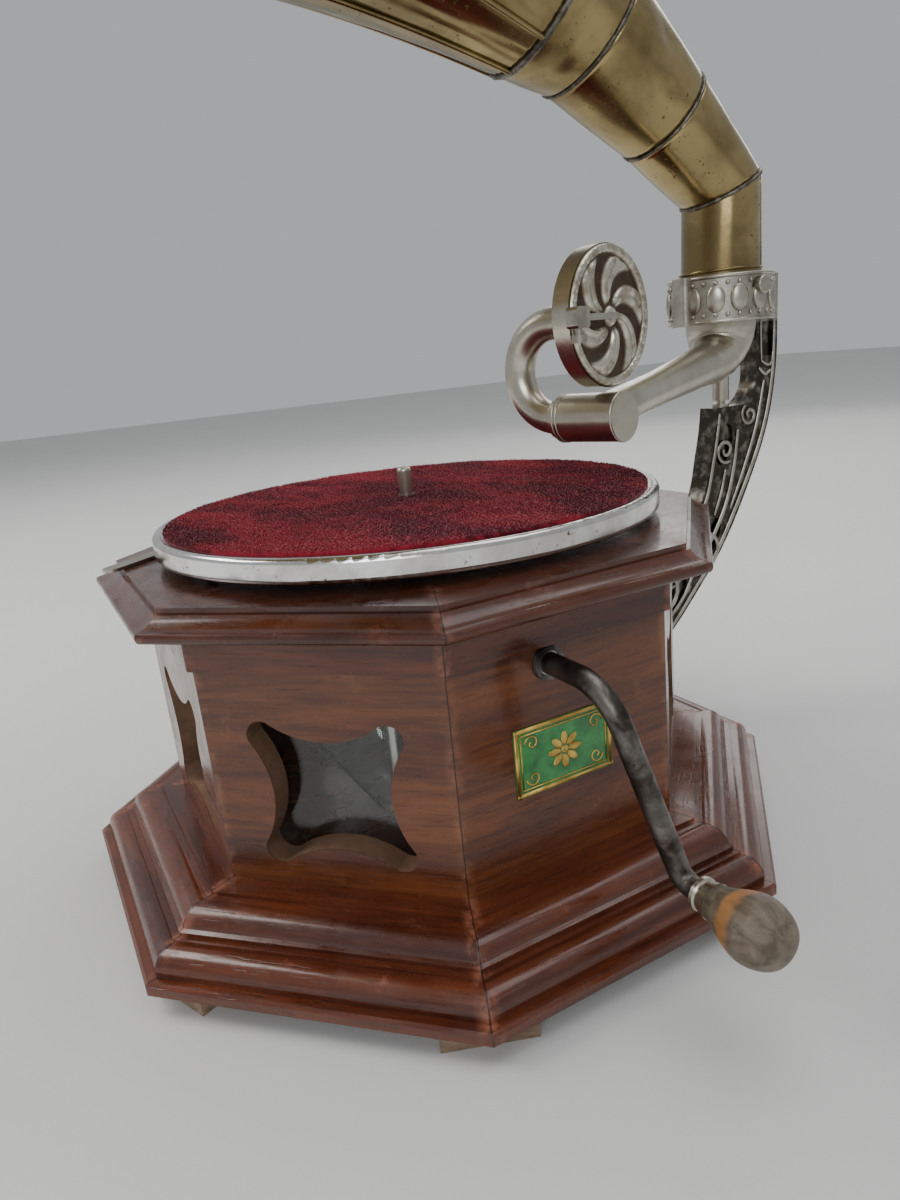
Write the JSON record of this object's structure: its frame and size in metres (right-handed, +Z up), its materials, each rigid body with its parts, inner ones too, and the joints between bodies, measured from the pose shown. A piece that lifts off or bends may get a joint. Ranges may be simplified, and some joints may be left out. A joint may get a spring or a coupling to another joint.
{
  "type": "wind up phonograph",
  "caption": "Table phonograph with an eight-sided windowed case, crank, velvet-topped turntable, swinging tone arm, throw-back sound box and flower horn on a cast bracket.",
  "frame": {"origin": "on the turntable spindle's axis, at the top of the mat", "axes": "+Z up along the spindle, +X towards the crank, -Y towards the front, +Y towards the horn bracket"},
  "size_m": [0.4596, 0.5513, 0.7588],
  "materials": {
    "mahogany": "glossy varnish, worn at the edges",
    "raw_wood": "bare, weathered",
    "velvet": "crushed velvet",
    "platter_metal": "bright plate, pitted",
    "nickel": "aged satin nickel",
    "cast_silver": "antique silver over cast metal",
    "horn_brass": "aged, olive gold",
    "bright_brass": "satin",
    "steel": "bright, lightly oiled",
    "dark_iron": "dark, rubbed",
    "grip_wood": "worn, handled",
    "glass": "clear",
    "rubber": "matt",
    "felt": "matt felt",
    "transfer": "painted transfer plate with a gold frame",
    "diaphragm_alloy": "thin, tarnished"
  },
  "bodies": {
    "root": {"feet": "raw_wood", "base_board": "mahogany", "lower_moulding": "mahogany", "upper_moulding": "mahogany", "window_panels": "mahogany", "crank_panel": "mahogany", "bracket_panel": "mahogany", "window_panes": "glass", "frieze": "mahogany", "lid_moulding": "mahogany", "lid_board": "mahogany", "decal_plate": "transfer", "shaft_bush": "bright_brass", "motor_plate_top": "steel", "motor_plate_bottom": "steel", "motor_pillars": "steel", "motor_bolts": "steel", "motor_grommets": "rubber", "shaft_bracket": "steel", "governor_brackets": "steel", "brake_pivot": "nickel", "horn_bracket": "cast_silver", "bracket_screws": "steel", "ring_screw": "cast_silver", "arm_pivot": "steel"},
    "turntable": {"platter": "platter_metal", "mat": "velvet", "spindle": "steel", "worm_wheel": "bright_brass"},
    "intermediate": {"intermediate_arbor": "steel", "intermediate_wheel": "bright_brass"},
    "spring_barrel": {"barrel_drum": "steel", "barrel_lid": "steel", "mainspring": "steel"},
    "governor": {"governor_shaft": "steel", "governor_disc": "bright_brass", "governor_springs": "steel", "governor_weights": "bright_brass"},
    "arbor": {"winding_arbor": "steel", "crown_wheel": "bright_brass", "ratchet_wheel": "steel"},
    "pawl": {"ratchet_pawl": "steel"},
    "crank": {"winding_shaft": "steel", "crank_rod": "dark_iron"},
    "handle": {"crank_ferrule": "nickel", "crank_grip": "grip_wood"},
    "speed_lever": {"regulator_lever": "steel", "regulator_pad": "felt"},
    "brake": {"brake_lever": "nickel", "brake_shoe": "rubber"},
    "tone_arm": {"tonearm": "nickel"},
    "sound_box": {"gooseneck": "nickel", "soundbox_case": "nickel", "diaphragm": "diaphragm_alloy", "soundbox_front": "cast_silver", "needle_holder": "steel", "needle_screw": "bright_brass"},
    "horn": {"horn_neck": "horn_brass", "horn_segments": "horn_brass", "horn_petals": "horn_brass"}
  },
  "joints": [
    {"name": "turntable_spin", "type": "hinge", "parent": "root", "child": "turntable", "pos_m": [0, 0, 0], "axis": [0, 0, 1], "continuous": true},
    {"name": "intermediate_spin", "type": "hinge", "parent": "root", "child": "intermediate", "pos_m": [0.01937, 0.02672, -0.08], "axis": [0, 0, 1], "continuous": true},
    {"name": "barrel_spin", "type": "hinge", "parent": "root", "child": "spring_barrel", "pos_m": [0.048, -0.008, -0.09], "axis": [0, 0, 1], "continuous": true},
    {"name": "governor_spin", "type": "hinge", "parent": "root", "child": "governor", "pos_m": [-0.0237, -0.02, -0.0655], "axis": [0, 1, 0], "continuous": true},
    {"name": "crank_turn", "type": "hinge", "parent": "root", "child": "crank", "pos_m": [0.13, -0.008, -0.054], "axis": [1, 0, 0], "continuous": true},
    {"name": "handle_spin", "type": "hinge", "parent": "crank", "child": "handle", "pos_m": [0.21, 0.01, -0.13195], "axis": [1, 0, 0], "continuous": true},
    {"name": "arbor_turn", "type": "hinge", "parent": "root", "child": "arbor", "pos_m": [0.048, -0.008, -0.06], "axis": [0, 0, 1], "continuous": true},
    {"name": "pawl_lift", "type": "hinge", "parent": "root", "child": "pawl", "pos_m": [0.026, 0.002, -0.048], "axis": [0, 0, 1], "range_deg": [0, 12]},
    {"name": "speed_set", "type": "hinge", "parent": "root", "child": "speed_lever", "pos_m": [0.004, -0.056, -0.05], "axis": [0, 0, 1], "range_deg": [-1.5, 6]},
    {"name": "brake_swing", "type": "hinge", "parent": "root", "child": "brake", "pos_m": [-0.062, -0.104, -0.016], "axis": [0, 0, 1], "range_deg": [-20, 9]},
    {"name": "tonearm_swing", "type": "hinge", "parent": "root", "child": "tone_arm", "pos_m": [0, 0.225, 0.04], "axis": [0, 0, 1], "range_deg": [-19, 17]},
    {"name": "soundbox_throw", "type": "hinge", "parent": "tone_arm", "child": "sound_box", "pos_m": [0.09296, 0.05018, 0.034], "axis": [0.9563, 0.2924, 0], "range_deg": [0, 76]},
    {"name": "horn_swivel", "type": "hinge", "parent": "root", "child": "horn", "pos_m": [0, 0.225, 0.09], "axis": [0, 0, 1], "range_deg": [-90, 90]}
  ],
  "couplings": [
    {"joint": "intermediate_spin", "follows": "turntable_spin", "ratio": -0.2},
    {"joint": "barrel_spin", "follows": "turntable_spin", "ratio": 0.025},
    {"joint": "governor_spin", "follows": "turntable_spin", "ratio": 9},
    {"joint": "arbor_turn", "follows": "crank_turn", "ratio": 0.33333}
  ]
}
